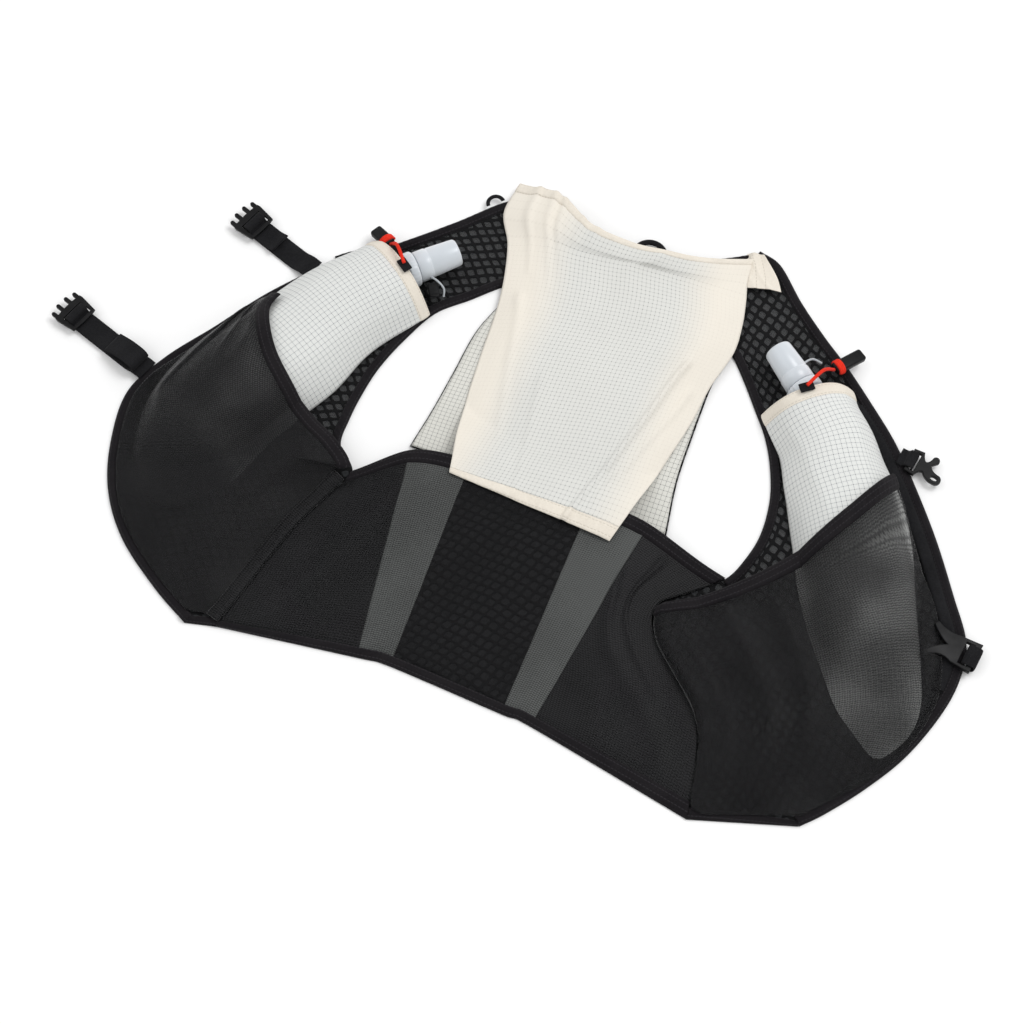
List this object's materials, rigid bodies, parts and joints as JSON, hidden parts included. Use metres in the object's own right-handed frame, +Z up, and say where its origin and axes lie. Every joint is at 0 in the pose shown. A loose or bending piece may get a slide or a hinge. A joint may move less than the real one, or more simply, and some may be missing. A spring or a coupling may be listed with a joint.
{
  "type": "running hydration vest",
  "caption": "Running hydration vest laid open on its inner side, with soft flasks in chest pockets, mesh side pockets, a cream back panel and a ribbed back pocket.",
  "frame": {"origin": "on the surface that the vest lies on, under the spine at the level of the back pocket's mouth", "axes": "+X across the vest to the wearer's right, +Y along the spine toward the neck, +Z up out of the outer side"},
  "size_m": [0.628, 0.3799, 0.0346],
  "materials": {
    "cream_cloth": "ripstop weave, matt, slightly see-through",
    "cream_hem": "folded stretch binding, matt",
    "black_net": "open knit with diamond cells",
    "mesh_cloth": "fine stretch mesh, see-through",
    "stripe_cloth": "ribbed stretch mesh, matt",
    "binding_tape": "folded elastic tape, matt",
    "webbing": "woven tape with a slight sheen",
    "moulded_plastic": "moulded, satin",
    "flask_film": "soft clear film",
    "cap_plastic": "moulded, cloudy, see-through",
    "red_cord": "braided elastic, matt"
  },
  "bodies": {
    "root": {"left_front_panel": "black_net", "left_outer_binding": "binding_tape", "left_armhole_binding": "binding_tape", "right_front_panel": "black_net", "right_outer_binding": "binding_tape", "right_armhole_binding": "binding_tape", "back_body": "black_net", "neck_binding": "binding_tape", "back_underlay": "cream_cloth", "waist_panel": "black_net", "hem_binding": "binding_tape", "left_wing": "mesh_cloth", "stripe_left": "stripe_cloth", "back_pocket_center": "black_net", "stripe_right": "stripe_cloth", "right_wing": "mesh_cloth", "back_pocket_band": "binding_tape", "back_flap": "cream_cloth", "flap_top_hem": "cream_cloth", "flap_bottom_hem": "cream_cloth", "flap_corner": "cream_cloth", "left_flask_pocket": "cream_cloth", "left_flask_pocket_hem": "cream_hem", "right_flask_pocket": "cream_cloth", "right_flask_pocket_hem": "cream_hem", "left_flask": "flask_film", "left_flask_collar": "cap_plastic", "left_flask_cap": "cap_plastic", "right_flask": "flask_film", "right_flask_collar": "cap_plastic", "right_flask_cap": "cap_plastic", "left_mesh_pocket": "mesh_cloth", "left_mesh_mouth_binding": "binding_tape", "left_side_seam": "binding_tape", "right_mesh_pocket": "mesh_cloth", "right_mesh_mouth_binding": "binding_tape", "upper_sternum_webbing": "webbing", "upper_sternum_buckle": "moulded_plastic", "lower_sternum_webbing": "webbing", "lower_sternum_buckle": "moulded_plastic", "hook_buckle": "moulded_plastic", "hook_webbing": "webbing", "fork_buckle": "moulded_plastic", "fork_webbing": "webbing", "neck_hang_loop": "webbing", "left_shoulder_loop": "webbing", "left_strap_rail": "webbing", "right_strap_rail": "webbing", "left_mouth_tab": "webbing", "left_pull_loop": "red_cord", "left_cord_pull": "moulded_plastic", "right_mouth_tab": "webbing", "right_pull_loop": "red_cord", "right_cord_pull": "moulded_plastic"}
  },
  "joints": []
}
